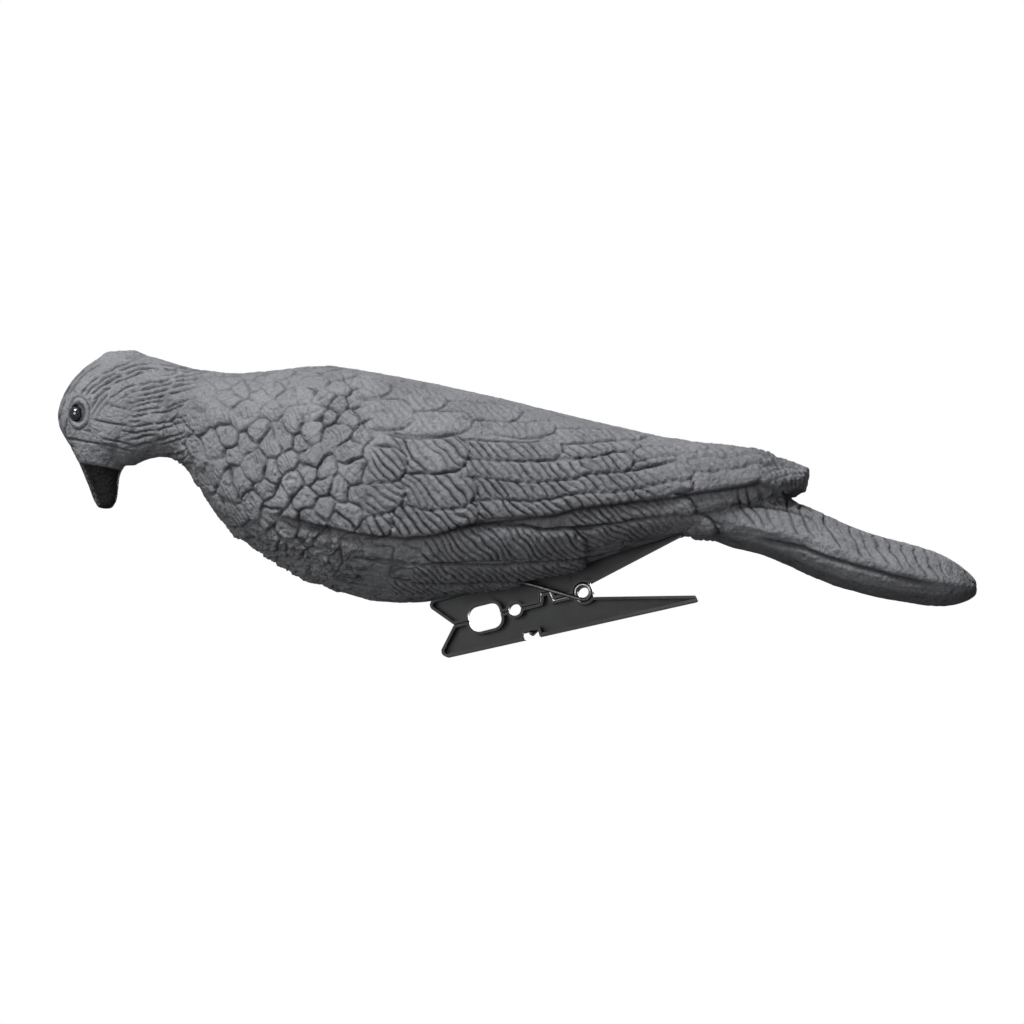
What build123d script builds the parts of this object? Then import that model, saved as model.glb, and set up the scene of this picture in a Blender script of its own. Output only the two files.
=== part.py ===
from build123d import *
import os
from math import acos, atan2, cos, degrees, hypot, radians, sin, sqrt

# Clip-on pigeon decoy.  A hollow bird of moulded foam, made as a left and a right half that
# meet on the plane Y = 0, hangs by a sprung peg let into its belly.  All sizes are in mm.
# The origin is the middle of the peg's small round grip hole.  +X runs to the tail, +Y across
# the bird to its right side (the bird faces -X) and +Z up.

# The foam bird
body_length = 232.0      # root of the neck to the ends of the wings, along X
body_depth = 84.0        # lowest belly to highest back
body_width = 84.0        # across both halves at the shoulder
belly_height = 2.8       # lowest belly above the grip hole
foam_wall = 10.0         # thickness of the hollow body's wall
tail_length = 107.0      # root inside the body to the tip
tail_width = 43.0
tail_depth = 21.5
head_height = 55.8       # beak tip to crown
head_depth = 45.3        # face to nape, buried in the neck
head_width = 32.0
head_place = (-165.3, 36.8)      # X of the face, Z of the beak's tip

# The eyes
eye_diameter = 5.6
eye_stand_out = 1.2      # how far the bead stands out of the head
eye_height_share = 0.611         # of head_height
eye_depth_share = 0.161          # of head_depth, from the face
eye_stem_diameter = 2.4
eye_stem_length = 7.0
eye_gap = 0.05           # between the bead and its socket in the foam

# The peg, in its own frame: U towards the handles, V up, origin on the coil's axis
peg_tilt = 14.0          # the parting line rises towards the tail, degrees
lever_width = 9.0        # across the bird
rim = 1.0                # the edge rib all round a lever
web = 1.6                # the plate inside the edge rib
parting_gap = 0.35       # between the closed jaws
grip_hole_radius = 2.2
grip_hole_reach = 25.2   # coil axis to small round grip hole
window_reach = 36.3      # coil axis to the middle of the large grip opening
window_length = 11.6
window_height = 9.4
window_corner = 3.4
mouth_reach = 47.8       # coil axis to where the jaws meet at the front
front_reach = 56.6       # coil axis to the front outer corner
front_depth = 10.4       # parting line to the front outer corner
handle_reach = 38.9      # coil axis to the handle's end
handle_depth = 13.1      # parting line to the outer edge at the handle's end
handle_end = 2.0         # thickness of the handle's end
heel_reach = 3.2         # where the handle's inner edge starts
heel_depth = 2.6
corner_radius = 2.0
notch_reach = 21.6       # coil axis to the middle of the notch that holds the spring's hook
notch_length = 5.4
notch_depth = 2.6
tooth_reach = 13.2       # coil axis to the middle of the locating tooth
tooth_root = 5.6
tooth_top = 2.7
tooth_height = 3.0
tooth_slope = 0.4        # run of the tooth's steep side
tooth_gap = 0.45         # between the tooth and the notch it sits in
hinge_relief = 0.45      # lower lever's edge below the parting line beside the coil
pad_radius = 1.4
pad_height = 0.6
pad_places = ((-4.9, 6.3), (20.1, 8.6))      # U, V of the round pads on the upper lever's plate

# The spring
wire = 1.4
coil_mean_radius = 2.7
coil_turns = 7
bend_swell = 0.03        # how much the wire swells where an arm turns into its hook
hook_gap = 0.1           # between a hook and the floor of its notch
seat_gap = 0.2           # between the coil and the levers' round seats
arm_gap = 0.1            # between a spring arm and the side of its lever

# What holds the peg in the foam
slot_gap = 0.5           # between the peg and the slot in the belly
slot_front_room = 1.5    # extra length in front of the peg
plate_room = 14.0        # height of the pocket above the plate's seat
lug_reaches = (-12.0, 13.0)      # U of the lugs' middles
lug_length = 8.0
lug_thickness = 3.0
lug_gap = 0.15
lug_above_pin = 2.2      # plastic left above a pin's hole
plate_seat = 16.6        # V of the underside of the plate inside the body
plate_thickness = 2.0
plate_length = 46.0
plate_width = 17.0
plate_middle = 0.5       # U of the plate's middle
plate_corner = 3.0
pin_radius = 1.25
pin_length = 15.0
pin_gap = 0.05

os.makedirs("parts", exist_ok=True)

# Frames
tilt = radians(peg_tilt)
along = Vector(cos(tilt), 0, sin(tilt))      # U in the row frame
pivot = along * grip_hole_reach
peg_frame = Plane(origin=pivot, x_dir=along, z_dir=(0, -1, 0))


# The foam bird
# Share along the body from neck to wing ends; top and bottom as shares of the depth above the
# lowest belly; width as a share of body_width.  The grip hole hangs at clip_share.
clip_share = 0.552
body_form = (
    (-0.060, 1.063, 0.600, 0.185),
    (-0.010, 1.040, 0.625, 0.190),
    (0.030, 1.016, 0.605, 0.205),
    (0.090, 0.988, 0.385, 0.275),
    (0.150, 0.985, 0.235, 0.365),
    (0.245, 1.008, 0.085, 0.465),
    (0.366, 0.967, 0.000, 0.500),
    (0.490, 0.895, 0.036, 0.480),
    (0.600, 0.820, 0.098, 0.435),
    (0.705, 0.748, 0.192, 0.375),
    (0.800, 0.690, 0.270, 0.320),
    (0.900, 0.638, 0.350, 0.275),
    (0.965, 0.594, 0.425, 0.230),
    (1.000, 0.566, 0.468, 0.165),
)
cavity_rows = body_form[4:11]

# Share along the tail from root to tip; height of its middle above the lowest belly; depth and
# width as shares of tail_depth and tail_width.
tail_start_share = 0.800
tail_form = (
    (0.00, 37.0, 0.90, 0.70),
    (0.20, 29.6, 1.14, 0.84),
    (0.40, 22.6, 1.16, 0.93),
    (0.58, 14.3, 1.08, 1.00),
    (0.77, 9.0, 0.99, 1.00),
    (0.89, 6.3, 0.84, 0.84),
    (0.96, 4.9, 0.56, 0.56),
    (1.00, 4.4, 0.26, 0.26),
)
widest_at = 0.46         # share of a section's height at which it is widest
body_fullness = 2.25     # 2 is an ellipse, more is squarer
tail_fullness = 1.85


def station_x(share):
    return (share - clip_share) * body_length


def ring(x, top, bottom, half_width, fullness):
    """A closed smooth section across the bird at x."""
    middle = bottom + (top - bottom) * widest_at
    points = []
    for step in range(12):
        turn = radians(step * 30)
        c, s = cos(turn), sin(turn)
        y = half_width * abs(c) ** (2 / fullness) * (1 if c > 0 else -1)
        reach = (top - middle) if s > 0 else (middle - bottom)
        z = middle + reach * abs(s) ** (2 / fullness) * (1 if s > 0 else -1)
        points.append((x, 0 if step in (3, 9) else y, z))
    return Face(Wire([Spline(*points, periodic=True)]))


def body_shape(rows, inset=0.0):
    sections = []
    for share, top, bottom, width in rows:
        high = belly_height + body_depth * top - inset
        low = belly_height + body_depth * bottom + inset
        sections.append(ring(station_x(share), high, low, body_width * width - inset, body_fullness))
    return Part() + Solid.make_loft([face.outer_wire() for face in sections])


def tail_shape():
    start = station_x(tail_start_share)
    sections = []
    for share, middle, depth, width in tail_form:
        high = belly_height + middle + tail_depth * depth * (1 - widest_at)
        low = belly_height + middle - tail_depth * depth * widest_at
        x = start + tail_length * share
        sections.append(ring(x, high, low, tail_width / 2 * width, tail_fullness))
    return Part() + Solid.make_loft([face.outer_wire() for face in sections])


# Share of the head's height from the beak's tip; where the face and the nape are as shares of its
# depth; width as a share of head_width.  The beak is the lowest part, below a height of 0.3.
head_form = (
    (0.000, 0.316, 0.444, 0.21),
    (0.057, 0.289, 0.475, 0.26),
    (0.165, 0.236, 0.490, 0.35),
    (0.272, 0.183, 0.530, 0.50),
    (0.371, 0.126, 0.675, 0.72),
    (0.470, 0.051, 0.912, 0.91),
    (0.595, 0.000, 1.000, 1.00),
    (0.738, 0.042, 0.978, 0.95),
    (0.864, 0.148, 0.890, 0.78),
    (0.953, 0.294, 0.757, 0.50),
    (1.000, 0.360, 0.625, 0.22),
)


def head_row(face, nape, width):
    """The middle, half depth and half width of a level oval of the head."""
    middle = head_place[0] + head_depth * (face + nape) / 2
    return middle, head_depth * (nape - face) / 2, head_width * width / 2


def head_shape():
    """The head and its beak: level ovals from the beak's tip to the crown."""
    outlines = []
    for height, face, nape, width in head_form:
        middle, half_depth, half_width = head_row(face, nape, width)
        place = Pos(middle, 0, head_place[1] + head_height * height)
        outlines.append((place * Ellipse(half_depth, half_width)).face().outer_wire())
    return Part() + Solid.make_loft(outlines)


def head_side(depth_share, height_share):
    """How far the side of the head stands from the middle plane."""
    for lower, upper in zip(head_form, head_form[1:]):
        if height_share <= upper[0]:
            break
    part = (height_share - lower[0]) / (upper[0] - lower[0])
    row = [low + (high - low) * part for low, high in zip(lower[1:], upper[1:])]
    middle, half_depth, half_width = head_row(*row)
    x = head_place[0] + head_depth * depth_share
    return half_width * sqrt(1 - ((x - middle) / half_depth) ** 2)


def eye_frame():
    """Where the eye sits on the head's left side: its point and outward direction."""
    reach = head_side(eye_depth_share, eye_height_share)
    step = 0.01
    back = head_side(eye_depth_share + step, eye_height_share) - reach
    up = head_side(eye_depth_share, eye_height_share + step) - reach
    x = head_place[0] + head_depth * eye_depth_share
    z = head_place[1] + head_height * eye_height_share
    normal = Vector(-back / (step * head_depth), -1, -up / (step * head_height)).normalized()
    return Vector(x, -reach, z), normal


def eye(gap=0.0):
    """The left eye: a round bead with a stem that presses into the foam."""
    point, normal = eye_frame()
    middle = point + normal * (eye_stand_out - eye_diameter / 2)
    bead = Pos(*middle) * Sphere(eye_diameter / 2 + gap)
    stem_plane = Plane(origin=middle, z_dir=-normal)
    stem = extrude(stem_plane * Circle(eye_stem_diameter / 2 + gap), eye_stem_length + gap)
    return bead + stem


# The peg
def mirrored(points, side):
    return [(u, side * v) for u, v in points]


def outer_edge(u):
    """V of a lever's straight outer edge."""
    slope = (handle_depth - front_depth) / (handle_reach + front_reach)
    return front_depth + slope * (u + front_reach)


def tooth_heel():
    """U of the foot of the tooth's steep side, where the lower lever's relief starts."""
    return -tooth_reach + tooth_top / 2 + tooth_slope


def tooth_outline(grow):
    half_root = tooth_root / 2 + grow
    half_top = tooth_top / 2 + grow
    return [
        (-tooth_reach - half_root, -hinge_relief),
        (-tooth_reach - half_top, tooth_height + grow),
        (-tooth_reach + half_top, tooth_height + grow),
        (tooth_heel() + grow, -hinge_relief),
    ]


def lever_profile(side):
    """One lever's outline; side is +1 for the upper and -1 for the lower."""
    half_gap = parting_gap / 2
    block = make_face(
        Polyline(
            *mirrored(
                [
                    (-mouth_reach, half_gap),
                    (heel_reach, half_gap),
                    (heel_reach, heel_depth),
                    (handle_reach, handle_depth - handle_end),
                    (handle_reach, handle_depth),
                    (-front_reach, front_depth),
                ],
                side,
            ),
            close=True,
        )
    )
    front_corner = block.vertices().sort_by(Axis.X)[0]
    block = fillet(front_corner, corner_radius)
    tip = block.vertices().group_by(Axis.X)[-1]
    block = fillet(tip, handle_end * 0.45)
    if side < 0:
        relief_length = heel_reach - tooth_heel()
        relief_middle = Pos(tooth_heel() + relief_length / 2, 0)
        block -= relief_middle * Rectangle(relief_length, 2 * hinge_relief)
        block += make_face(Polyline(*tooth_outline(0), close=True))
    else:
        block -= make_face(Polyline(*tooth_outline(tooth_gap), close=True))
    block -= Pos(-grip_hole_reach, 0) * Circle(grip_hole_radius)
    block -= Pos(-window_reach, 0) * RectangleRounded(window_length, window_height, window_corner)
    block -= Circle(coil_mean_radius + wire / 2 + seat_gap)
    notch_floor = outer_edge(-notch_reach) - notch_depth
    block -= Pos(-notch_reach, side * (notch_floor + 5)) * Rectangle(notch_length, 10)
    return block.face()


def lever_solid(side):
    profile = lever_profile(side)
    solid = extrude(profile, lever_width / 2, both=True)
    pocket = offset(profile, -rim, kind=Kind.ARC)
    depth = (lever_width - web) / 2
    for face_side in (1, -1):
        middle = face_side * (web / 2 + depth / 2)
        solid -= Pos(0, 0, middle) * extrude(pocket, depth / 2, both=True)
    return solid


def anchor_lugs():
    lugs = Part()
    top = plate_seat + plate_thickness + 2 * (pin_radius + pin_gap) + lug_above_pin
    for reach in lug_reaches:
        bottom = outer_edge(reach) - rim / 2
        middle = (top + bottom) / 2
        lugs += Pos(reach, middle, 0) * Box(lug_length, top - bottom, lug_thickness)
    return lugs


def pin_height():
    return plate_seat + plate_thickness + pin_radius + pin_gap


def upper_lever():
    lever = lever_solid(1) + anchor_lugs()
    for reach in lug_reaches:
        hole = Cylinder(pin_radius + pin_gap, lug_thickness * 2)
        lever -= Pos(reach, pin_height(), 0) * hole
    for u, v in pad_places:
        lever += Pos(u, v, 0) * Cylinder(pad_radius, web + 2 * pad_height)
    return peg_frame.location * lever


def lower_lever():
    return peg_frame.location * lever_solid(-1)


def anchor_pin(reach):
    pin = Pos(reach, pin_height(), 0) * Cylinder(pin_radius, pin_length)
    pin = chamfer(pin.edges().filter_by(GeomType.CIRCLE), 0.3)
    return peg_frame.location * pin


def anchor_plate():
    outline = Pos(plate_middle, 0) * RectangleRounded(plate_length, plate_width, plate_corner)
    for reach in lug_reaches:
        outline -= Pos(reach, 0) * Rectangle(lug_length + 2 * lug_gap, lug_thickness + 2 * lug_gap)
    flat = extrude(outline, plate_thickness)
    # the plate lies with its thickness along V
    laid = Pos(0, plate_seat + plate_thickness, 0) * (Rot(90, 0, 0) * flat)
    return peg_frame.location * laid


# The spring
arm_side = lever_width / 2 + arm_gap + wire / 2      # how far each arm lies from the middle
hook_level = outer_edge(-notch_reach) - notch_depth + wire / 2 + hook_gap


def arm(side):
    """One arm's middle line in the peg's frame, from its hook to the coil, and the turn of the
    coil where it joins.  Side +1 is the near arm, which hooks over the upper lever."""
    level = side * arm_side
    hook = Vector(-notch_reach, side * hook_level, level)
    turn = atan2(hook.Y, hook.X) + side * acos(coil_mean_radius / hypot(hook.X, hook.Y))
    touch = Vector(coil_mean_radius * cos(turn), coil_mean_radius * sin(turn), level)
    return Line(hook, touch), turn


def hook(side):
    """The bent end that lies across the lever in its notch."""
    bend = Vector(-notch_reach, side * hook_level, side * arm_side)
    length = arm_side + lever_width / 2 - rim
    rod = extrude(Plane(origin=bend, z_dir=(0, 0, -side)) * Circle(wire / 2), length)
    knuckle = Rot(40, 40, 0) * Sphere(wire / 2 + bend_swell)
    return rod + Pos(*bend) * knuckle


def torsion_spring():
    near, near_turn = arm(1)
    far, far_turn = arm(-1)
    turned = degrees(far_turn - near_turn) / 360 % 1 + coil_turns - 1
    height = 2 * arm_side
    first_turn = Plane(
        origin=(0, 0, arm_side),
        x_dir=(cos(near_turn), sin(near_turn), 0),
        z_dir=(0, 0, -1),
    )
    coil = Helix(pitch=height / turned, height=height, radius=coil_mean_radius, lefthand=True)
    middle_line = Wire([near, first_turn.location * coil, far])
    section = Plane(origin=middle_line @ 0, z_dir=middle_line % 0) * Circle(wire / 2)
    spring = sweep(section, path=middle_line, is_frenet=True, transition=Transition.RIGHT)
    return peg_frame.location * (spring + hook(1) + hook(-1))


# The foam halves, cut for everything they hold
def peg_slot():
    """The slot in the belly: the upper lever and the spring's near arm with room round them."""
    half = arm_side + wire / 2 + slot_gap
    slot_front = -front_reach - slot_gap - slot_front_room
    outline = make_face(
        Polyline(
            (slot_front, -front_depth),
            (handle_reach + slot_gap, -front_depth),
            (handle_reach + slot_gap, handle_depth + slot_gap),
            (slot_front, front_depth + slot_gap),
            close=True,
        )
    )
    slot = extrude(outline, half, both=True)
    for reach in lug_reaches:
        top = plate_seat + plate_thickness
        size = (lug_length + 2 * lug_gap, top, lug_thickness + 2 * lug_gap)
        slot += Pos(reach, top / 2, 0) * Box(*size)
    middle = Pos(plate_middle, plate_seat + plate_room / 2, 0)
    slot += middle * Box(plate_length + 2 * lug_gap, plate_room, plate_width + 2 * lug_gap)
    return peg_frame.location * slot


def foam_half():
    """The left half, with the cuts for everything it holds."""
    bird = body_shape(body_form) + tail_shape() + head_shape()
    bird -= body_shape(cavity_rows, foam_wall)
    bird -= peg_slot()
    bird -= eye(eye_gap)
    left_side = Box(3 * body_length, 2 * body_width, 3 * body_length)
    return bird & Pos(0, -body_width, 0) * left_side


foam_left = foam_half()
eye_left = eye()
nodes = {
    "foam_half_left": foam_left,
    "foam_half_right": mirror(foam_left, about=Plane.XZ),
    "eye_left": eye_left,
    "eye_right": mirror(eye_left, about=Plane.XZ),
    "upper_lever": upper_lever(),
    "lower_lever": lower_lever(),
    "torsion_spring": torsion_spring(),
    "anchor_plate": anchor_plate(),
    "front_anchor_pin": anchor_pin(lug_reaches[0]),
    "rear_anchor_pin": anchor_pin(lug_reaches[1]),
}
for name, shape in nodes.items():
    export_step(shape, f"parts/{name}.step")
    print(name, round(shape.volume, 1), shape.bounding_box().size)
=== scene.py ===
import math

import bpy
import numpy as np
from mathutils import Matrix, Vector


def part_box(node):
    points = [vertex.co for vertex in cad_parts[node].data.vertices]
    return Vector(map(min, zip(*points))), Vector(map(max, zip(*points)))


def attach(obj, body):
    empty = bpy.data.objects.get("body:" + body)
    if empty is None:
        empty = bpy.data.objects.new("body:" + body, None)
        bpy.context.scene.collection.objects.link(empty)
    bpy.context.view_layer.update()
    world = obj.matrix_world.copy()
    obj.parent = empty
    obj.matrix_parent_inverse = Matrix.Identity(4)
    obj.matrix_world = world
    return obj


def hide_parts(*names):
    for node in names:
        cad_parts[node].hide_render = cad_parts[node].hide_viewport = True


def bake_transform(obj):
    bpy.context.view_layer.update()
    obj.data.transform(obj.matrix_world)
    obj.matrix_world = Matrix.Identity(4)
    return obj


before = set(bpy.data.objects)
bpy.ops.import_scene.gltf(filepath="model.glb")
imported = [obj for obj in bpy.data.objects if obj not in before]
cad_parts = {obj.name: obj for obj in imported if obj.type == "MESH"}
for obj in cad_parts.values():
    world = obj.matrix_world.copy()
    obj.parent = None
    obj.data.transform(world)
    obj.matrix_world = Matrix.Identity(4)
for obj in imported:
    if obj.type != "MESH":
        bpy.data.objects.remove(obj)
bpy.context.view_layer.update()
mm = 0.001
print("frame loaded:", len(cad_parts), "nodes")


# small helpers

def smooth(value):
    t = np.clip(value, 0.0, 1.0)
    return t * t * (3 - 2 * t)


def bump(distance, width):
    return np.exp(-((distance / width) ** 2))


def hashed(number, seed):
    return np.modf(np.abs(np.sin(number * 12.9898 + seed * 78.233) * 43758.5453))[0]


def noise(points, size, seed):  # smooth lattice noise, about -1 to 1
    scaled = points / size + seed * 17.31
    cell = np.floor(scaled)
    part = smooth(scaled - cell)
    total = np.zeros(len(points))
    for corner in range(8):
        step = np.array([corner & 1, corner >> 1 & 1, corner >> 2 & 1], float)
        key = (cell + step) @ np.array([1.0, 57.0, 113.0])
        weight = np.prod(np.where(step > 0, part, 1 - part), axis=1)
        total += weight * (hashed(key, seed) * 2 - 1)
    return total


def selectNothing():
    bpy.ops.object.select_all(action="DESELECT")


def makeActive(obj):
    selectNothing()
    obj.select_set(True)
    bpy.context.view_layer.objects.active = obj


def applyModifier(obj, name):
    makeActive(obj)
    bpy.ops.object.modifier_apply(modifier=name)


def inEditMode(obj, work):  # runs one editing step on all of a piece's mesh
    makeActive(obj)
    bpy.ops.object.mode_set(mode="EDIT")
    bpy.ops.mesh.select_all(action="SELECT")
    work()
    bpy.ops.object.mode_set(mode="OBJECT")


def freeCopy(nodeName, newName, weld):  # a copy of a CAD node that can be worked on, its seams welded
    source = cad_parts[nodeName]
    piece = source.copy()
    piece.data = source.data.copy()
    piece.name = newName
    bpy.context.scene.collection.objects.link(piece)
    piece.parent = None
    for key in list(piece.keys()):
        del piece[key]
    inEditMode(piece, lambda: bpy.ops.mesh.remove_doubles(threshold=weld))
    return piece


def readPoints(mesh):
    co = np.zeros(len(mesh.vertices) * 3)
    mesh.vertices.foreach_get("co", co)
    return co.reshape(-1, 3)


# the foam skin

foam = {
    "voxel": 0.50,        # mm, the grain of the skin's mesh
    "weld": 0.01,         # mm, points of the CAD mesh nearer than this become one
    "hiddenShare": 0.10,  # how much of the hidden walls' mesh is kept
    "cavity": (-95, 60),  # X where the hollow begins and ends
    "cavityReach": 0.88,  # how near to the outside the hollow's wall comes
    "slotEnds": (-34, 68),
    "slotHalf": 6.9,      # mm, half the belly slot with its worn edge
    "barbDepth": 0.95,    # the fine cuts across a feather
    "crackDepth": 1.25,   # the torn edges between feathers
    "rise": 1.05,         # how far a feather's tip stands over the next one
    "wingProud": 2.3,     # how far the folded wing stands off the body
    "underWing": 1.25,    # the hollow that runs below the wing's edge
    "stipple": 0.15,
}

# where the folded wing's lower edge runs, X and Z in mm
wingEdge = [(-92, 36), (-70, 30.6), (-53, 26.7), (-35, 24.4), (-24, 26), (-15, 29), (5, 31),
            (17, 32.3), (25, 34.8), (48, 37.6), (72, 41), (88, 43.6), (100, 40.5), (106, 37)]
tailRidge = [(76, 31), (99.5, 25.2), (112, 22.6), (122, 17.6), (143, 11.4), (153, 8.7), (165, 6.7)]
tailGroove = [(84, 24.6), (102, 20.8), (112, 16.9), (121, 14.1), (136, 10), (145, 8), (157, 6.1)]
tailShaft = [(76, 35.5), (88.7, 36), (98.2, 34.6), (108, 31)]

# feathers of the wing: root X, Z, tip X, Z, half width, bow; the first lie underneath
flankFeathers = [(18, 22, 72, 28, 5.2, 1.5), (20, 31, 66, 35, 4.6, 1.0), (-44, 9, 4, 11, 5.0, -1.0),
                 (-36, 13.5, 26, 17.5, 5.0, -1.5), (-32, 21, 27.5, 23, 6.6, 2.0)]
wingFeathers = [(34, 40, 112, 47.5, 3.4, -0.6), (-16, 33.5, 66, 42.6, 3.9, -1.4),
                (-46, 30.5, -9.5, 33.8, 5.6, -1.2), (-78, 33, -40, 29.8, 5.4, -1.6),
                (18, 45, 112, 51, 3.4, -0.6), (-14, 41, 66, 46.6, 3.8, -1.6),
                (-40, 41.5, -11, 41, 6.4, -0.8), (-66, 39.5, -36, 40.5, 6.6, -1.0),
                (22, 50, 70, 54, 3.0, -0.4), (-20, 48.2, 44, 50.4, 3.8, -1.4),
                (4, 54.5, 46, 55.6, 3.2, -0.4), (-20, 54.5, 20, 55.4, 3.8, -1.0),
                (-44, 54, -13.5, 53.6, 6.8, -0.6), (-68, 51, -34, 50.6, 6.6, -0.8)]
backFeathers = [(10, 60, 48, 60.6, 4.2, -0.4), (-8, 64, 16, 62.6, 4.6, -1.0),
                (-34, 70, 4, 68.6, 5.6, -0.6), (-44, 66.5, -12.5, 64.4, 5.6, -0.8),
                (-50, 76, -22, 72.4, 6.2, -1.0), (-70, 70, -33, 68.4, 6.6, -1.0),
                (-72, 80, -42, 77.6, 6.0, -1.0)]
# barb: mm from cut to cut; lean: how far they slant; the rest are shares of the foam's own depths, barbCut
# and crack also of the painted shade in the cuts
wingLook = {"barb": 3.5, "lean": 0.72, "barbCut": 1.4, "rise": 0.9, "crack": 1.0}
backLook = {"barb": 3.1, "lean": 0.65, "barbCut": 0.35, "rise": 0.6, "crack": 0.7}
flankLook = {"barb": 2.9, "lean": 0.8, "barbCut": 1.2, "rise": 2.0, "crack": 1.5}


def along(line, x):
    return np.interp(x, [p[0] for p in line], [p[1] for p in line])


class Skin:  # the relief of one half: its points, unrolled coordinates and what is laid on it
    pass


def section(skin, x):  # middle height, half height and half width of the body at X
    low, high, wide = (np.interp(x, skin.stations, row) for row in (skin.low, skin.high, skin.wide))
    return (high + low) / 2, (high - low) / 2, wide


def unroll(skin):  # girth coordinate of every point: 0 at mid height, in mm up the side
    middle, tall, wide = section(skin, skin.x)
    turn = np.arctan2((skin.z - middle) / tall, np.abs(skin.y) / wide)
    return turn * (tall + wide) / 2


def onSide(skin, x, z):  # girth coordinate of a place given by X and Z on the side
    middle, tall, wide = section(skin, x)
    return np.arcsin(np.clip((z - middle) / tall, -1, 1)) * (tall + wide) / 2


def layFeather(skin, u0, v0, u1, v1, half, bow, look, seed):
    length = math.hypot(u1 - u0, v1 - v0)
    du, dv = (u1 - u0) / length, (v1 - v0) / length
    reach = half + abs(bow) + 2
    near = np.nonzero((skin.u > min(u0, u1) - reach) & (skin.u < max(u0, u1) + reach)
                      & (skin.v > min(v0, v1) - reach) & (skin.v < max(v0, v1) + reach))[0]
    if not len(near):
        return
    s = (skin.u[near] - u0) * du + (skin.v[near] - v0) * dv
    t = -(skin.u[near] - u0) * dv + (skin.v[near] - v0) * du
    t = t - bow * (1 - (2 * s / length - 1) ** 2)
    tipRound = min(half * 1.1, length * 0.5)
    narrowing = np.sqrt(1 - np.clip((s - length + tipRound) / tipRound, 0, 1) ** 2)
    edge = np.minimum(half * narrowing - np.abs(t), length - s)
    cover = smooth(edge / 0.4 + 0.5) * smooth(s / 3.0)
    level = foam["rise"] * look["rise"] * (0.15 + 0.85 * np.clip(s / length, 0, 1))
    dome = level * (0.45 + 0.55 * smooth(edge / 1.9))
    place = (s + look["lean"] * t) / look["barb"] + skin.jitter[near] * 0.35
    which = np.floor(place)
    strength = 0.4 + 0.8 * hashed(which, seed)
    cut = bump((place - which - 0.5) * look["barb"], 0.18 + 0.06 * look["barb"]) * strength
    cut = cut * smooth((edge - 0.2) / 0.9) * smooth(s / 4.0)
    swell = np.cos(2 * np.pi * (place - which)) * smooth((edge - 0.3) / 1.4) * smooth(s / 5.0)
    fade = 1 - 0.6 * smooth((skin.x[near] - 38) / 22)
    cut = cut * fade
    dome = dome - foam["barbDepth"] * look["barbCut"] * (cut - 0.22 * swell * fade)
    ragged = 0.75 + 0.45 * skin.jitter[near]
    crack = bump(edge + 0.15, 0.50) * smooth(s / 5.0) * ragged * look["crack"] * (0.45 + 0.55 * fade)
    skin.height[near] = skin.height[near] * (1 - cover) + dome * cover - foam["crackDepth"] * crack
    # painted shade in the barb cuts and the cracks between feathers
    shade = np.maximum(skin.shade[near] * (1 - cover), 0.95 * cut * look["barbCut"] * cover * fade)
    skin.shade[near] = np.maximum(shade, crack * (0.4 + 0.6 * fade))


def layRow(skin, rows, look, seed):
    for count, (x0, z0, x1, z1, half, bow) in enumerate(rows):
        v0, v1 = onSide(skin, x0, z0), onSide(skin, x1, z1)
        layFeather(skin, x0, v0, x1, v1, half, bow, look, seed + count)


cells = {
    "rowGap": 6.9,       # mm between the long cracks of the breast
    "cellGap": 8.2,      # mm between cells along a row
    "rowLean": 52.0,     # degrees the rows lean back from level
    "crack": 1.2,
}


def splitCells(u, v, rowGap, cellGap, rng):  # for each point: distance to a crack, place, cell number
    lean = math.radians(cells["rowLean"])
    alongRow = np.array([math.cos(lean), math.sin(lean)])
    acrossRow = np.array([math.sin(lean), -math.cos(lean)])
    nearest, second = np.full(len(u), 60.0), np.full(len(u), 60.0)
    place, number = np.zeros(len(u)), np.zeros(len(u))
    reach = 1.35 * cellGap
    rows, steps = int(112 / rowGap), int(112 / cellGap)
    for row in range(-rows, rows + 1):
        shift = rng.uniform(0, 1)
        for step in range(-steps, steps + 1):
            spot = acrossRow * rowGap * (row + rng.uniform(-0.24, 0.24))
            spot = spot + alongRow * cellGap * (step + shift + rng.uniform(-0.42, 0.42))
            cu, cv = spot[0] - 78, spot[1] + 2
            if not -146 < cu < -18 or abs(cv) > 66:
                continue
            near = np.nonzero((np.abs(u - cu) < reach) & (np.abs(v - cv) < reach))[0]
            if not len(near):
                continue
            a = (u[near] - cu) * alongRow[0] + (v[near] - cv) * alongRow[1]
            b = (u[near] - cu) * acrossRow[0] + (v[near] - cv) * acrossRow[1]
            far = np.hypot(a / 1.25, b)
            closer = far < nearest[near]
            second[near] = np.where(closer, nearest[near], np.minimum(second[near], far))
            nearest[near] = np.where(closer, far, nearest[near])
            place[near] = np.where(closer, b + 0.25 * a, place[near])
            number[near] = np.where(closer, row * 7.3 + step * 1.7, number[near])
    return (second - nearest) / 2, place, number


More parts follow.
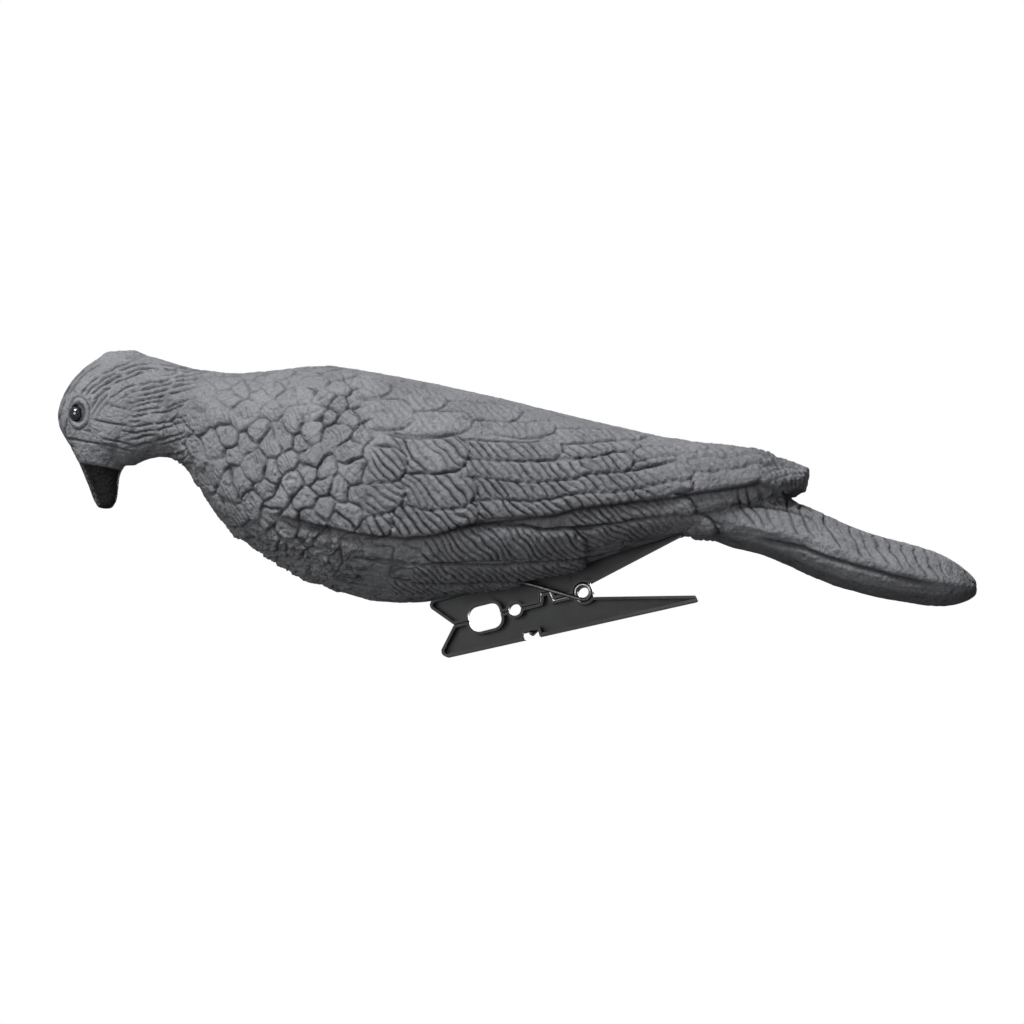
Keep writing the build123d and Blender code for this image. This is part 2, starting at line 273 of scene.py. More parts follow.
def laySplit(skin, side):  # breast, shoulder and mantle: torn scales in leaning rows
    rng = np.random.default_rng(5 + side)
    wildU = skin.u + 1.3 * noise(skin.points, 5.0, 71 + side)
    wildV = skin.v + 1.3 * noise(skin.points, 5.0, 72 + side)
    edge, place, number = splitCells(wildU, wildV, cells["rowGap"], cells["cellGap"], rng)
    small, _, smallNumber = splitCells(wildU, wildV, 3.3, 4.4, rng)
    z = skin.z
    limit = np.interp(z, [4, 14, 24, 34, 44, 56, 66, 78, 92], [-66, -58, -50, -50, -50, -47, -50, -54, -58])
    zone = smooth((limit + 3 - skin.x) / 5) * smooth((skin.x + 133) / 18)
    mantle = smooth((z - 64 - 0.18 * (skin.x + 100)) / 16)
    torn = smooth(noise(skin.points, 4.2, 73 + side) + 0.75)
    level = 0.65 * (hashed(number, 3) - 0.3)
    crumbled = smooth((33 - z) / 14)
    dome = (0.42 * smooth(edge / 1.3) + 0.11 * np.clip(place + 3, 0, 8) + level) * (1 - 0.15 * crumbled)
    front = smooth((-92 - skin.x) / 22)
    crack = bump(edge, 0.31) * torn * (1 - 0.1 * crumbled) * (1 - 0.35 * front)
    fold = bump(small, 0.30) * (hashed(smallNumber, 6) > 0.45) * torn * (edge > 0.5)
    turned = (skin.u + 0.75 * skin.v) / 1.7 + 1.1 * hashed(number, 4) + 0.5 * skin.jitter
    which = np.floor(turned)
    cut = bump((turned - which - 0.5) * 1.7, 0.34) * hashed(which + number, 9) * smooth((edge - 0.3) / 0.6)
    worn = smooth((hashed(number, 2) - 0.25) / 0.3) * (1 - mantle)
    height = dome * (1 - 0.75 * mantle) - 0.6 * cut * worn - 0.5 * fold * (1 - mantle)
    height = height - foam["crackDepth"] * cells["crack"] * crack * (1 - 0.72 * mantle)
    skin.height = skin.height * (1 - zone) + height * zone
    # painted shade in the cracks, cuts and folds of the scales
    shade = np.maximum(crack * (1 - 0.5 * mantle), np.maximum(0.75 * cut * worn, 0.6 * fold * (1 - mantle)))
    skin.shade = skin.shade * (1 - zone) + shade * zone


def layBelly(skin):  # level torn streaks under the wing and along the belly
    z, x = skin.z, skin.x
    zone = smooth((27 - z) / 7) * smooth((x + 84) / 20) * (1 - smooth((x - 70) / 8))
    zone = zone + 0.8 * smooth((x - 26) / 8) * smooth((37 - z) / 5) * (1 - smooth((x - 74) / 5))
    streaks = np.stack([x / 9 + z / 22, skin.v / 1.5, x * 0 + 3.0], axis=1)
    lines = noise(streaks, 1.0, 61)
    scales = np.stack([x / 5.5 - z / 9, skin.v / 3.2, x * 0 + 5.0], axis=1)
    cracks = bump(noise(scales, 1.0, 64), 0.09)
    cut = np.maximum(smooth((lines - 0.2) / 0.2) * (0.6 + 0.6 * skin.jitter), 0.8 * cracks)
    cut = np.clip(cut * np.clip(zone, 0, 1), 0, 1)
    skin.height -= 0.8 * cut
    # painted shade in the torn streaks
    skin.shade = np.maximum(skin.shade, 0.85 * cut)


def layWing(skin):
    x, v = skin.x, skin.v
    edge = onSide(skin, x, along(wingEdge, x))
    above = v - edge
    present = smooth((x + 90) / 22) * (1 - smooth((x - 84) / 16))
    proud = smooth(above / 1.7 + 0.6) * (1 - smooth((above - 12) / 26))
    under = bump(above + 1.6, 2.6)
    skin.height += present * (foam["wingProud"] * proud - foam["underWing"] * under)
    # painted shadow along the hollow under the wing's edge
    skin.shade = np.maximum(skin.shade, present * bump(above + 0.9, 1.1))


def layTail(skin):
    x, z = skin.x, skin.z
    present = smooth((x - 74) / 10) * (1 - smooth((z - along(wingEdge, x) + 1.0) / 1.2) * (x < 107))
    ridge, groove = along(tailRidge, x), along(tailGroove, x)
    over = smooth((z - ridge + 0.5) / 1.5)
    place = (x + 0.85 * (z - ridge) - 0.03 * (z - ridge) ** 2) / 4.4 + 0.3 * skin.jitter
    which = np.floor(place)
    strength = 0.15 + 1.0 * hashed(which, 3)
    barb = bump((place - which - 0.5) * 4.4, 0.5) * strength * over
    barb = barb * np.maximum(smooth((skin.v + 4) / 4), x < 107)
    lip = bump(z - ridge, 1.7)
    cut = bump(z - groove, 0.85) * smooth((x - 84) / 10) * (1 - smooth((x - 142) / 12))
    shaft = bump(z - along(tailShaft, x), 0.6) * (1 - smooth((x - 103) / 6))
    side = smooth((np.abs(skin.y) - 4) / 4)
    fine = noise(skin.points * np.array([0.35, 1, 1.6]), 1.3, 8)
    tail = (0.8 * lip - 1.5 * cut - 0.9 * shaft) * side - 0.95 * barb
    tail += 0.10 * fine * (1 - over)
    skin.height += present * tail
    # painted shade: the tail darker along its underside, where the light does not reach
    bottom = np.interp(x, skin.stations, skin.low)
    paintedUndersideShade = smooth((bottom + 4.2 - z) / 1.8) * smooth((x - 62) / 12)
    # painted shade in the tail's grooves, shaft line and barbs
    skin.shade = np.maximum(skin.shade, present * np.maximum(np.maximum(cut, shaft) * side, 0.9 * barb))
    skin.shade = np.maximum(skin.shade, 0.62 * paintedUndersideShade)


def layTips(skin):  # crossed cuts on the ends of the folded wings
    x, z = skin.x, skin.z
    zone = smooth((x - 84) / 6) * smooth((z - along(wingEdge, x) - 0.5) / 1.5) * (x < 108)
    for lean in (1.0, -0.8):
        place = (skin.v + lean * x) / 2.9 + 0.35 * skin.jitter
        cut = bump((np.modf(np.abs(place))[0] - 0.5) * 2.9, 0.42) * zone
        skin.height -= 0.38 * cut
        # painted shade in the crossed cuts
        skin.shade = np.maximum(skin.shade, 0.4 * cut)


def brokenLines(flow, tangent, gap, width, keep, seed):  # fine cuts that start and stop
    place = flow / gap
    which = np.floor(place)
    part = tangent + 7.0 * hashed(which, seed)
    block = np.floor(part)
    here = hashed(which * 3.1 + block, seed + 1) < keep
    ends = smooth((0.5 - np.abs(part - block - 0.5)) / 0.12)
    shift = 0.5 + 0.25 * (hashed(which + block * 5.7, seed + 2) - 0.5)
    return bump((place - which - shift) * gap, width) * here * ends


def layHead(skin, eyeSpot):
    x, z = skin.x, skin.z
    zone = 1 - smooth((x + 124 + 5 * noise(skin.points, 9.0, 25)) / 18)
    wave = noise(skin.points, 7.0, 22)
    fine = noise(skin.points, 2.4, 23)
    oval = np.hypot((x + 127) * 0.92, (z - 60) * 1.05)
    turn = np.arctan2(z - 60, x + 127) * 30
    level = z * 1.05 - 0.22 * (x + 150)
    upper = smooth((z - 66 - 0.55 * (x + 150)) / 8)
    behind = smooth((x + 141) / 9)
    arcs = brokenLines(oval + 0.9 * wave + 0.35 * fine, turn / 15, 1.95, 0.33, 0.80, 24)
    rows = brokenLines(level + 0.8 * wave + 0.35 * fine, x / 13, 2.05, 0.33, 0.74, 27)
    front = brokenLines(level + 0.45 * (x + 150) + 0.5 * wave, x / 14, 2.2, 0.34, 0.62, 30)
    cut = arcs * upper + (rows * behind + front * (1 - behind)) * (1 - upper)
    beakTop = 53.0 - 0.17 * (x + 154)
    beak = smooth((beakTop - z) / 0.6) * (x < -137)
    spot = np.hypot((x - eyeSpot[0]) / 3.0, (z - eyeSpot[2]) / 4.2)
    clear = smooth((spot - 1.45) / 0.35)
    crown = 1 - smooth((z - 87) / 4)
    side = smooth((np.abs(skin.y) - 2) / 3) * (x < -140)
    cut = cut * crown * (1 - beak) * clear * zone
    lid = bump(spot - 1.12, 0.17) * side
    ring = bump(spot - 1.42, 0.10) * side
    inner = (1 - smooth((spot - 0.82) / 0.12)) * side
    lip = smooth((z - beakTop) / 0.5) * (1 - smooth((z - beakTop - 3) / 3)) * (x < -137)
    skin.height += -0.95 * cut + 0.42 * lid - 0.45 * ring + 0.35 * lip - 0.3 * beak - 0.8 * inner
    skin.height += 0.3 * wave * zone * (1 - beak)
    # painted shade in the head's cuts, the groove round the eye and the eye's socket; none on the beak
    skin.shade = np.maximum(skin.shade * (1 - beak), 0.95 * cut)
    skin.shade = np.maximum(skin.shade, np.maximum(0.9 * ring, inner))
    skin.beak = beak


def layStipple(skin):
    lifted = 0.35 + 0.65 * smooth((skin.z - 5) / 9)
    low = smooth((34 - skin.z) / 14) * (1 - smooth((skin.x + 66) / 26)) * lifted
    neck = bump(skin.x + 122, 9) * smooth((84 - skin.z) / 6)
    rear = smooth((skin.x - 44) / 20) * (skin.z > 36)
    rough = 1.0 + 1.5 * low + 1.1 * neck + 0.7 * rear
    pebbles = noise(skin.points, 1.75, 31)
    grains = noise(skin.points, 1.05, 32)
    calm = 1 - 0.85 * skin.beak
    skin.height += foam["stipple"] * rough * calm * (pebbles + 0.8 * grains)
    pits = smooth((noise(skin.points, 2.5, 34) - 0.42) / 0.25)
    crumbs = np.abs(noise(skin.points, 2.9, 36)) + 0.5 * np.abs(noise(skin.points, 1.6, 37))
    skin.height += low * 1.5 * (crumbs - 0.45)
    skin.height -= (0.22 + 0.25 * low) * pits * calm
    skin.height += 0.30 * noise(skin.points, 8.5, 35) * calm
    # painted shade: darker between the crumbs of the lower breast, in the pits and in the neck's hollows
    dark = 0.6 * low * smooth((0.3 - crumbs) / 0.2) + 0.3 * pits + 0.4 * neck * np.clip(-pebbles, 0, 1)
    skin.shade = np.clip(skin.shade + dark * calm, 0, 1)


def relax(points, edges, weight, rounds):  # pulls each point towards the middle of its neighbours
    a, b = edges[:, 0], edges[:, 1]
    size = len(points)
    count = np.bincount(a, minlength=size) + np.bincount(b, minlength=size)
    onPlane = np.abs(points[:, 1]) < 0.02
    for _ in range(rounds):
        sums = [np.bincount(a, points[b, k], size) + np.bincount(b, points[a, k], size) for k in range(3)]
        mean = np.stack([total / count for total in sums], axis=1)
        points = points + (mean - points) * weight[:, None]
        points[onPlane, 1] = 0
    return points


def remeshedHalf():
    half = freeCopy("foam_half_left", "foamSkinLeft", foam["weld"] * mm)
    grain = half.modifiers.new("grain", "REMESH")
    grain.mode = "VOXEL"
    grain.voxel_size = foam["voxel"] * mm
    applyModifier(half, "grain")
    return half


def measure(skin):  # the body's outline at stations along X
    first, gap = -168, 1.5
    bins = np.arange(first, 170, gap)
    which = np.clip(((skin.x - first) / gap).astype(int), 0, len(bins) - 1)
    skin.stations = bins + gap / 2
    skin.high = np.full(len(bins), -1e3)
    skin.low = np.full(len(bins), 1e3)
    skin.wide = np.full(len(bins), 2.0)
    np.maximum.at(skin.high, which, skin.z)
    np.minimum.at(skin.low, which, skin.z)
    np.maximum.at(skin.wide, which, np.abs(skin.y))
    known = skin.high > -1e2
    for name in ("high", "low", "wide"):
        row = getattr(skin, name)
        setattr(skin, name, np.interp(skin.stations, skin.stations[known], row[known]))


def layAll(skin, side, eyeSpot):
    flat = unroll(skin)
    skin.jitter = noise(skin.points, 5.0, 41 + side)
    skin.u = skin.x + 1.1 * noise(skin.points, 8.0, 42 + side) + 0.35 * noise(skin.points, 2.6, 44 + side)
    skin.v = flat + 1.1 * noise(skin.points, 8.0, 43 + side) + 0.35 * noise(skin.points, 2.6, 45 + side)
    skin.height = np.zeros(len(skin.x))
    # shade collects painted shade for the cuts, cracks, hollows and the tail's underside
    skin.shade = np.zeros(len(skin.x))
    layBelly(skin)
    layRow(skin, flankFeathers, flankLook, 60 + side)
    layRow(skin, wingFeathers, wingLook, 70 + side)
    layRow(skin, backFeathers, backLook, 90 + side)
    laySplit(skin, side)
    fadeTail = 1 - smooth((skin.x - 98) / 6)
    skin.height *= fadeTail
    skin.shade *= fadeTail
    skin.v = flat
    layWing(skin)
    layTail(skin)
    layTips(skin)
    layHead(skin, eyeSpot)
    layStipple(skin)


def sculpt(base, normals, side, eyeSpot):
    skin = Skin()
    skin.points = base
    skin.x, skin.y, skin.z = base[:, 0], base[:, 1], base[:, 2]
    measure(skin)
    layAll(skin, side, eyeSpot)
    away = np.abs(skin.y)
    onPlane = away < 0.02
    middle = (np.interp(skin.x, skin.stations, skin.low) + np.interp(skin.x, skin.stations, skin.high)) / 2
    tall = np.interp(skin.x, skin.stations, skin.high) - middle
    wide = np.interp(skin.x, skin.stations, skin.wide)
    radius = ((np.abs(skin.z - middle) / tall) ** 2.25 + (away / wide) ** 2.25) ** (1 / 2.25)
    cavityFront, cavityBack = foam["cavity"]
    hollow = (skin.x > cavityFront) & (skin.x < cavityBack) & (radius < foam["cavityReach"])
    slotFront, slotBack = foam["slotEnds"]
    below = skin.z < middle
    inSlot = (skin.x > slotFront) & (skin.x < slotBack) & (away < foam["slotHalf"]) & below
    skin.inside = hollow | onPlane | inSlot
    seam = smooth((away - 0.2) / 5.0)
    byTheSlot = (skin.x > slotFront - 2) & (skin.x < slotBack + 2) & below
    slotFade = np.where(byTheSlot, smooth((away - foam["slotHalf"]) / 3.0), 1.0)
    common = 0.15 * noise(base, 3.0, 51) - 0.1  # both halves share it, so the middle seam meets
    height = (skin.height * seam + common * (1 - seam)) * slotFade
    height[inSlot | hollow] = 0
    moved = base + normals * height[:, None]
    moved[onPlane, 1] = 0
    moved[~onPlane, 1] = np.minimum(moved[~onPlane, 1], -0.01)
    return moved, skin


def thinHidden(half, hidden):  # fewer faces where nobody can look
    group = half.vertex_groups.new(name="hidden")
    group.add(np.nonzero(hidden)[0].tolist(), 1.0, "REPLACE")
    share = float(hidden.mean())
    thin = half.modifiers.new("thin", "DECIMATE")
    thin.vertex_group = "hidden"
    thin.ratio = 1 - share * (1 - foam["hiddenShare"])
    applyModifier(half, "thin")
    half.vertex_groups.clear()


def shapeBase(base, edges):  # eases the CAD shape towards soft foam before the relief goes on
    x, z = base[:, 0], base[:, 2]
    cavityFront, cavityBack = foam["cavity"]
    outer = ~((x > cavityFront) & (x < cavityBack))
    blendHere = (0.7 * bump(x + 127, 6) * (z < 88) + 0.9 * bump(x - 104, 7) * (z < 40)) * outer
    crown = 0.25 * smooth((z - 88) / 3) * (x < -112)
    tailEnd = 0.5 * smooth((x - 158) / 5)
    beakTip = 0.6 * smooth((40 - z) / 2) * (x < -138)
    base = relax(base, edges, np.clip(blendHere + crown + beakTip + tailEnd, 0, 1) * 0.9, 28)
    tailRoot = bump(x - 67, 8) * smooth((28 - z) / 5) * (x > 40)
    base[:, 2] += 4.0 * tailRoot
    onWingEnd = smooth((x - 92) / 11) * (z > 37.5) * (x < 107)
    base[:, 0] += onWingEnd * (1.2 - 2.6 * np.clip((50 - z) / 10.5, 0, 1))
    base[:, 2] += 1.6 * bump(x + 136, 15) * smooth((z - 78) / 12)
    return relax(base, edges, np.full(len(base), 0.35), 2)


def buildFoam():
    left = remeshedHalf()
    low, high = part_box("eye_left")
    eyeSpot = (low + high) / 2 / mm
    mesh = left.data
    edges = np.zeros(len(mesh.edges) * 2, int)
    mesh.edges.foreach_get("vertices", edges)
    base = shapeBase(readPoints(mesh) / mm, edges.reshape(-1, 2))
    mesh.vertices.foreach_set("co", (base * mm).ravel())
    mesh.update()
    normals = np.zeros(len(mesh.vertices) * 3)
    mesh.vertices.foreach_get("normal", normals)
    normals = normals.reshape(-1, 3)
    right = left.copy()
    right.data = left.data.copy()
    right.name = "foamSkinRight"
    bpy.context.scene.collection.objects.link(right)
    for half, side, node in ((left, 0, "foam_half_left"), (right, 1, "foam_half_right")):
        moved, skin = sculpt(base, normals, side, eyeSpot)
        if side:
            moved = moved * np.array([1, -1, 1])
        half.data.vertices.foreach_set("co", (moved * mm).ravel())
        # the first layer is painted shade for cuts, cracks and hollows, the second the beak's black paint
        for name, values in (("paintedShade", skin.shade), ("beakPaint", skin.beak)):
            layer = half.data.attributes.new(name, "FLOAT", "POINT")
            layer.data.foreach_set("value", values.astype(np.float32))
        if side:
            half.data.flip_normals()
        half.data.update()
        thinHidden(half, skin.inside)
        makeActive(half)
        bpy.ops.object.shade_smooth()
        half.data.materials.clear()
        half.data.materials.append(foamFinish)
        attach(half, "decoy")
        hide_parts(node)
        print("foam half", half.name, len(half.data.polygons), "faces")


# finishes

def newFinish(name, colour, roughness, specular=0.5):
    finish = bpy.data.materials.new(name)
    finish.use_nodes = True
    shader = finish.node_tree.nodes["Principled BSDF"]
    shader.inputs["Base Color"].default_value = (*colour, 1)
    shader.inputs["Roughness"].default_value = roughness
    shader.inputs["Specular IOR Level"].default_value = specular
    return finish, finish.node_tree.nodes, finish.node_tree.links, shader


def noiseNode(nodes, links, coords, scale, detail=3.0, rough=0.55):
    node = nodes.new("ShaderNodeTexNoise")
    node.inputs["Scale"].default_value = scale
    node.inputs["Detail"].default_value = detail
    node.inputs["Roughness"].default_value = rough
    links.new(coords.outputs["Object"], node.inputs["Vector"])
    return node


def rampNode(nodes, links, source, stops):
    ramp = nodes.new("ShaderNodeValToRGB")
    for element, (position, colour) in zip(ramp.color_ramp.elements, stops):
        element.position = position
        element.color = (*colour, 1)
    links.new(source, ramp.inputs["Fac"])
    return ramp


def mixNode(nodes, links, factor, a, b, blend="MIX"):
    mix = nodes.new("ShaderNodeMix")
    mix.data_type = "RGBA"
    mix.blend_type = blend
    for value, socket in ((factor, mix.inputs["Factor"]), (a, mix.inputs["A"]), (b, mix.inputs["B"])):
        if isinstance(value, bpy.types.NodeSocket):
            links.new(value, socket)
        else:
            socket.default_value = value
    return mix.outputs["Result"]


def bumpNode(nodes, links, height, strength, distance, normal=None):
    node = nodes.new("ShaderNodeBump")
    node.inputs["Strength"].default_value = strength
    node.inputs["Distance"].default_value = distance
    links.new(height, node.inputs["Height"])
    if normal is not None:
        links.new(normal, node.inputs["Normal"])
    return node.outputs["Normal"]


foamTones = {
    "light": (0.172, 0.174, 0.184),
    "dark": (0.126, 0.128, 0.136),
    # the near black of the painted shade laid in cuts, cracks, pits and along the tail's underside
    "paintedShade": (0.018, 0.018, 0.020),
    "paintedShadeShare": 0.74,            # how strongly the painted shade in cuts, cracks and hollows darkens the foam
    "beak": (0.004, 0.004, 0.0045),
    "beakWorn": (0.16, 0.165, 0.175),
    "roughness": 0.86,
    "beakRoughness": 0.62,
}


def makeFoamFinish():
    finish, nodes, links, shader = newFinish("greySkinnedFoam", foamTones["light"],
                                             foamTones["roughness"], 0.15)
    coords = nodes.new("ShaderNodeTexCoord")
    patches = noiseNode(nodes, links, coords, 55, 4)
    stops = ((0.3, foamTones["dark"]), (0.68, foamTones["light"]))
    tone = rampNode(nodes, links, patches.outputs["Fac"], stops)
    grain = noiseNode(nodes, links, coords, 900, 5, 0.7)
    flecks = rampNode(nodes, links, grain.outputs["Fac"], ((0.28, (0.72,) * 3), (0.6, (1.06,) * 3)))
    skinTone = mixNode(nodes, links, 1.0, tone.outputs["Color"], flecks.outputs["Color"], "MULTIPLY")
    # painted shade: darkens the foam where the relief has cuts, cracks and hollows, and under the tail
    paintedShade = nodes.new("ShaderNodeAttribute")
    paintedShade.attribute_name = "paintedShade"
    depth = nodes.new("ShaderNodeMath")
    depth.operation = "MULTIPLY"
    depth.inputs[1].default_value = foamTones["paintedShadeShare"]
    links.new(paintedShade.outputs["Fac"], depth.inputs[0])
    skinTone = mixNode(nodes, links, depth.outputs[0], skinTone, (*foamTones["paintedShade"], 1))
    paint = nodes.new("ShaderNodeAttribute")
    paint.attribute_name = "beakPaint"
    place = nodes.new("ShaderNodeSeparateXYZ")
    links.new(coords.outputs["Object"], place.inputs[0])
    ridge = nodes.new("ShaderNodeMath")      # 0 behind, 1 along the front ridge of the beak
    ridge.operation = "MULTIPLY_ADD"
    ridge.inputs[1].default_value = 0.4
    links.new(place.outputs["Z"], ridge.inputs[0])
    links.new(place.outputs["X"], ridge.inputs[2])
    front = nodes.new("ShaderNodeMapRange")
    front.inputs["From Min"].default_value = -0.1338
    front.inputs["From Max"].default_value = -0.1365
    links.new(ridge.outputs[0], front.inputs["Value"])
    speck = noiseNode(nodes, links, coords, 1100, 2, 0.6)
    speckCut = rampNode(nodes, links, speck.outputs["Fac"], ((0.47, (0,) * 3), (0.53, (1,) * 3)))
    worn = nodes.new("ShaderNodeMath")
    worn.operation = "MULTIPLY"
    links.new(front.outputs["Result"], worn.inputs[0])
    links.new(speckCut.outputs["Color"], worn.inputs[1])
    beakTone = mixNode(nodes, links, worn.outputs[0], (*foamTones["beak"], 1), (*foamTones["beakWorn"], 1))
    links.new(mixNode(nodes, links, paint.outputs["Fac"], skinTone, beakTone), shader.inputs["Base Color"])
    gloss = nodes.new("ShaderNodeMapRange")
    gloss.inputs["To Min"].default_value = foamTones["roughness"]
    gloss.inputs["To Max"].default_value = foamTones["beakRoughness"]
    links.new(paint.outputs["Fac"], gloss.inputs["Value"])
    links.new(gloss.outputs["Result"], shader.inputs["Roughness"])
    coarse = noiseNode(nodes, links, coords, 620, 4, 0.65)
    normal = bumpNode(nodes, links, coarse.outputs["Fac"], 0.9, 0.0014)
    links.new(bumpNode(nodes, links, grain.outputs["Fac"], 0.8, 0.0007, normal), shader.inputs["Normal"])
    return finish


plasticTones = {"middle": (0.028, 0.029, 0.030), "dark": (0.022, 0.0225, 0.024),
                "light": (0.036, 0.037, 0.039), "roughness": (0.42, 0.56)}


def makePlasticFinish():
    finish, nodes, links, shader = newFinish("blackPegPlastic", plasticTones["middle"], 0.48, 0.35)
    coords = nodes.new("ShaderNodeTexCoord")
    cloud = noiseNode(nodes, links, coords, 130, 3)
    stops = ((0.3, plasticTones["dark"]), (0.7, plasticTones["light"]))
    tone = rampNode(nodes, links, cloud.outputs["Fac"], stops)
    links.new(tone.outputs["Color"], shader.inputs["Base Color"])
    matt = nodes.new("ShaderNodeMapRange")
    matt.inputs["To Min"].default_value, matt.inputs["To Max"].default_value = plasticTones["roughness"]
    links.new(cloud.outputs["Fac"], matt.inputs["Value"])
    links.new(matt.outputs["Result"], shader.inputs["Roughness"])
    grain = noiseNode(nodes, links, coords, 2600, 2)
    links.new(bumpNode(nodes, links, grain.outputs["Fac"], 0.12, 0.0001), shader.inputs["Normal"])
    return finish


steelTones = {"middle": (0.2, 0.2, 0.205), "dark": (0.14, 0.14, 0.145), "light": (0.27, 0.27, 0.275)}


def makeSteelFinish():
    finish, nodes, links, shader = newFinish("springWire", steelTones["middle"], 0.34)
    shader.inputs["Metallic"].default_value = 1.0
    coords = nodes.new("ShaderNodeTexCoord")
    drawn = noiseNode(nodes, links, coords, 900, 2)
    stops = ((0.35, steelTones["dark"]), (0.65, steelTones["light"]))
    tone = rampNode(nodes, links, drawn.outputs["Fac"], stops)
    links.new(tone.outputs["Color"], shader.inputs["Base Color"])
    return finish


eyeTones = {"bead": (0.006, 0.006, 0.007), "dust": (0.05, 0.05, 0.052)}


def makeEyeFinish():
    finish, nodes, links, shader = newFinish("eyeBead", eyeTones["bead"], 0.12, 0.5)
    shader.inputs["Coat Weight"].default_value = 0.6
    shader.inputs["Coat Roughness"].default_value = 0.06
    coords = nodes.new("ShaderNodeTexCoord")
    dust = noiseNode(nodes, links, coords, 1500, 3)
    tone = rampNode(nodes, links, dust.outputs["Fac"], ((0.5, eyeTones["bead"]), (0.8, eyeTones["dust"])))
    links.new(tone.outputs["Color"], shader.inputs["Base Color"])
    return finish


# metres and degrees
spring = {
    "axis": (0.0244514, 0.0060964),   # X and Z of the coil's middle line
    "halfHeight": 0.0053,
    "coilReach": 0.0035,              # what is farther from the axis is an arm
    "hookReach": 0.017,               # past this an arm bends over its lever
    "tilt": 14.0,                     # how far the peg slopes
    "weld": 0.000001,
    "smoothUnder": 40.0,
}


def buildSpring():  # each arm stays with its own lever; the coil is left unattached
    coil = freeCopy("torsion_spring", "springCoil", spring["weld"])
    axisX, axisZ = spring["axis"]
    c, s = math.cos(math.radians(spring["tilt"])), math.sin(math.radians(spring["tilt"]))
    pieces = []
    for name, body, nearSide in (("springNearArm", "decoy", True), ("springFarArm", "jaw", False)):
        makeActive(coil)
        bpy.ops.object.mode_set(mode="EDIT")
        bpy.ops.mesh.select_mode(type="FACE")
        bpy.ops.mesh.select_all(action="DESELECT")
        bpy.ops.object.mode_set(mode="OBJECT")
        for face in coil.data.polygons:
            dx, y, dz = face.center.x - axisX, face.center.y, face.center.z - axisZ
            u, v = dx * c + dz * s, dz * c - dx * s
            near = v > 0 if u < -spring["hookReach"] else y < 0
            face.select = math.hypot(dx, dz) > spring["coilReach"] and near == nearSide
        bpy.ops.object.mode_set(mode="EDIT")
        bpy.ops.mesh.separate(type="SELECTED")
        bpy.ops.object.mode_set(mode="OBJECT")
        arm = [obj for obj in bpy.context.selected_objects if obj.name != coil.name][0]
        arm.name = name
        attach(arm, body)
        pieces.append(arm)
    pieces.append(coil)
    for piece in pieces:
        makeActive(piece)
        bpy.ops.object.shade_smooth_by_angle(angle=math.radians(spring["smoothUnder"]))
        piece.data.materials.clear()
        piece.data.materials.append(steelFinish)
        if piece is coil:
            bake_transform(coil)
        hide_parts("torsion_spring")
        print("spring piece", piece.name, len(piece.data.polygons), "faces")


foamFinish = makeFoamFinish()
plasticFinish = makePlasticFinish()
steelFinish = makeSteelFinish()
eyeFinish = makeEyeFinish()


def dressNode(name, finish):
    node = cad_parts[name]
    node.data.materials.clear()
    node.data.materials.append(finish)


for name in ("upper_lever", "lower_lever", "anchor_plate"):
    dressNode(name, plasticFinish)
for name in ("front_anchor_pin", "rear_anchor_pin"):
    dressNode(name, steelFinish)
for name in ("eye_left", "eye_right"):
    dressNode(name, eyeFinish)
print("finishes on")
buildFoam()
buildSpring()


# stage, light and camera

studio = {
    "floorHeight": -2.6,  # far below, because the bird hangs
    "floorSize": 60.0,
    "floorGlow": 0.85,
    "ambient": 0.22,
}

# name: place, aim, size in metres, power in watts
lamps = {
    "keyLight": ((-0.35, -0.78, 1.00), (0, 0, 0.04), 0.5, 31.0),
    "fillLight": ((-0.65, -1.35, 0.02), (0, 0, 0.04), 0.9, 13.0),
    "topLight": ((0, 0.1, 2.2), (0, 0, 0), 2.5, 8.0),
    "backLight": ((0.3, 1.6, 0.45), (0, 0, 0.04), 0.9, 26.0),
}


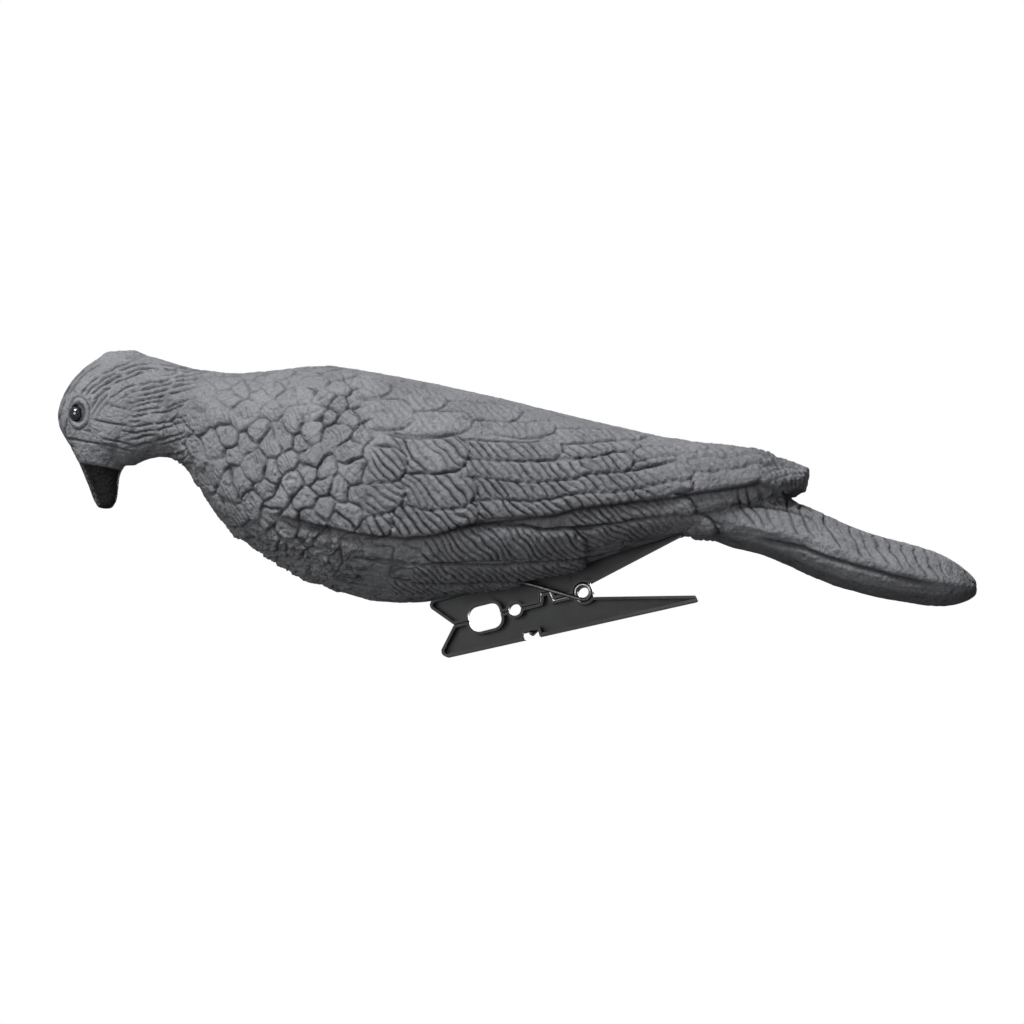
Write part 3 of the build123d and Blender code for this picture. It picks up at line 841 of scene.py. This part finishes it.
def buildStudio():
    bpy.ops.mesh.primitive_plane_add(size=studio["floorSize"], location=(0, 0, studio["floorHeight"]))
    floor = bpy.context.active_object
    floor.name = "floor"
    paper, _, _, shader = newFinish("paleFloor", (0.86, 0.86, 0.86), 0.8, 0.2)
    floor.data.materials.append(paper)
    shader.inputs["Emission Color"].default_value = (1, 1, 1, 1)
    shader.inputs["Emission Strength"].default_value = studio["floorGlow"]
    floor.visible_diffuse = False  # the pale floor throws no light up under the bird
    floor.visible_glossy = False
    world = bpy.data.worlds.new("softRoom")
    bpy.context.scene.world = world
    world.use_nodes = True
    nodes, links = world.node_tree.nodes, world.node_tree.links
    room = nodes["Background"]
    room.inputs["Color"].default_value = (0.97, 0.98, 1.0, 1)
    room.inputs["Strength"].default_value = studio["ambient"]
    paperWhite = nodes.new("ShaderNodeBackground")
    paperWhite.inputs["Color"].default_value = (1, 1, 1, 1)
    seen = nodes.new("ShaderNodeLightPath")
    mix = nodes.new("ShaderNodeMixShader")
    links.new(seen.outputs["Is Camera Ray"], mix.inputs[0])
    links.new(room.outputs[0], mix.inputs[1])
    links.new(paperWhite.outputs[0], mix.inputs[2])
    links.new(mix.outputs[0], nodes["World Output"].inputs["Surface"])
    print("floor and room set")


def addLamp(name, place, aim, size, power):
    bpy.ops.object.light_add(type="AREA", location=place)
    lamp = bpy.context.active_object
    lamp.name = name
    lamp.data.shape = "DISK"
    lamp.data.size = size
    lamp.data.energy = power
    lamp.rotation_euler = (Vector(aim) - Vector(place)).to_track_quat("-Z", "Y").to_euler()
    print("lamp", name)


view = {
    "side": 4.5,           # degrees round towards the tail
    "lift": -3.5,          # degrees, from a little below
    "away": 2.4,
    "frameWidth": 0.3665,  # metres across the frame at the bird
    "aim": (-0.0013, 0.0, 0.0351),
    "sensor": 36.0,        # mm
}


def buildCamera():
    turn, lift = math.radians(view["side"]), math.radians(view["lift"])
    aim = Vector(view["aim"])
    offset = Vector((math.sin(turn) * math.cos(lift), -math.cos(turn) * math.cos(lift), math.sin(lift)))
    lens = bpy.data.cameras.new("view")
    camera = bpy.data.objects.new("view", lens)
    bpy.context.scene.collection.objects.link(camera)
    camera.location = aim + offset * view["away"]
    camera.rotation_euler = (-offset).to_track_quat("-Z", "Y").to_euler()
    lens.sensor_width = view["sensor"]
    lens.lens = view["sensor"] * view["away"] / view["frameWidth"]
    bpy.context.scene.camera = camera
    print("camera set")


buildStudio()
for name, (place, aim, size, power) in lamps.items():
    addLamp(name, place, aim, size, power)
buildCamera()
bpy.context.scene.view_settings.view_transform = "Standard"
